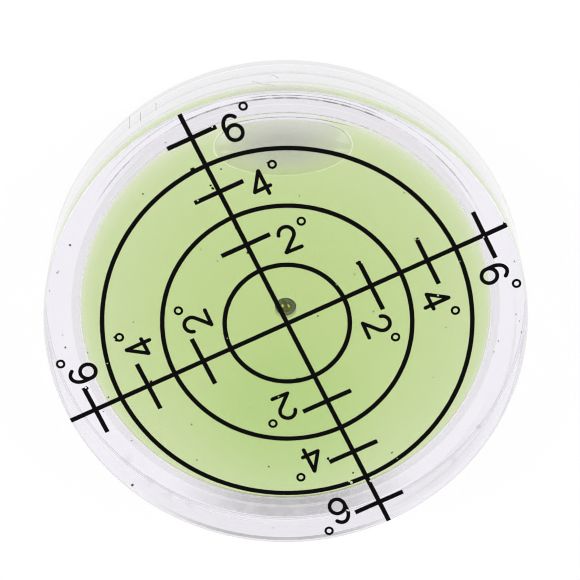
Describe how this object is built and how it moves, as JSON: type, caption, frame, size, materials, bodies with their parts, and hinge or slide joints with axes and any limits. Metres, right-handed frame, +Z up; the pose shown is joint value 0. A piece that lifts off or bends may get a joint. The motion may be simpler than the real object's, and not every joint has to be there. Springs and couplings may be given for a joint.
{
  "type": "bullseye level",
  "caption": "Round clear vial with green liquid, a bubble and a printed target of rings and a cross, laid on a surface to show how far it tilts.",
  "frame": {"origin": "centre of the underside, at the bottom of the base plate", "axes": "+Z up through the window, with +X and +Y along the two arms of the printed cross; the bubble lies between +X and +Y, nearer to +Y"},
  "size_m": [0.066, 0.066, 0.0141],
  "materials": {
    "clear_acrylic": "clear moulded acrylic, polished",
    "green_liquid": "clear green liquid",
    "ball_steel": "plain steel, wetted by the liquid",
    "black_ink": "satin printed ink"
  },
  "bodies": {
    "root": {"clear_body": "clear_acrylic", "base_plate": "clear_acrylic", "green_liquid": "green_liquid", "plug_ball": "ball_steel", "graduation": "black_ink"}
  },
  "joints": []
}
